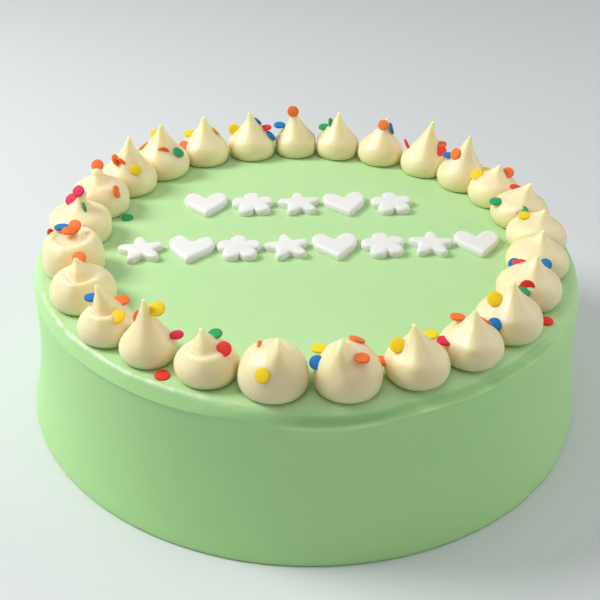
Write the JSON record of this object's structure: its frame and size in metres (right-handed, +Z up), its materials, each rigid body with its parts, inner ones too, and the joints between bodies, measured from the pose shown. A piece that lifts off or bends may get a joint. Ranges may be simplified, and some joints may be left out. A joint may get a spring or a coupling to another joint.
{
  "type": "birthday cake",
  "caption": "Round buttercream birthday cake with a ring of piped, peaked dollops, confetti sprinkles and rows of small fondant cut-outs on top.",
  "frame": {"origin": "centre of the cake's flat underside, on the surface it stands on", "axes": "+Z up; -Y towards the front of the cake, the side the rows of cut-outs are read from; +X to the right seen from the front"},
  "size_m": [0.22, 0.22, 0.0848],
  "materials": {
    "green_buttercream": "pale mint-green buttercream smoothed with a palette knife, satin, slightly uneven, edible",
    "cream_buttercream": "pale cream buttercream piped from a plain round tip, smooth satin, edible",
    "white_fondant": "rolled white fondant, soft-edged, matt with a faint sheen, edible",
    "sugar_confetti": "pressed sugar confetti discs in orange, yellow, red, green and blue, matt, edible"
  },
  "bodies": {
    "root": {"cake": "green_buttercream", "dollop_01": "cream_buttercream", "dollop_02": "cream_buttercream", "dollop_03": "cream_buttercream", "dollop_04": "cream_buttercream", "dollop_05": "cream_buttercream", "dollop_06": "cream_buttercream", "dollop_07": "cream_buttercream", "dollop_08": "cream_buttercream", "dollop_09": "cream_buttercream", "dollop_10": "cream_buttercream", "dollop_11": "cream_buttercream", "dollop_12": "cream_buttercream", "dollop_13": "cream_buttercream", "dollop_14": "cream_buttercream", "dollop_15": "cream_buttercream", "dollop_16": "cream_buttercream", "dollop_17": "cream_buttercream", "dollop_18": "cream_buttercream", "dollop_19": "cream_buttercream", "dollop_20": "cream_buttercream", "dollop_21": "cream_buttercream", "dollop_22": "cream_buttercream", "dollop_23": "cream_buttercream", "dollop_24": "cream_buttercream", "dollop_25": "cream_buttercream", "dollop_26": "cream_buttercream", "cutout_01": "white_fondant", "cutout_02": "white_fondant", "cutout_03": "white_fondant", "cutout_04": "white_fondant", "cutout_05": "white_fondant", "cutout_06": "white_fondant", "cutout_07": "white_fondant", "cutout_08": "white_fondant", "cutout_09": "white_fondant", "cutout_10": "white_fondant", "cutout_11": "white_fondant", "cutout_12": "white_fondant", "cutout_13": "white_fondant"}
  },
  "joints": []
}
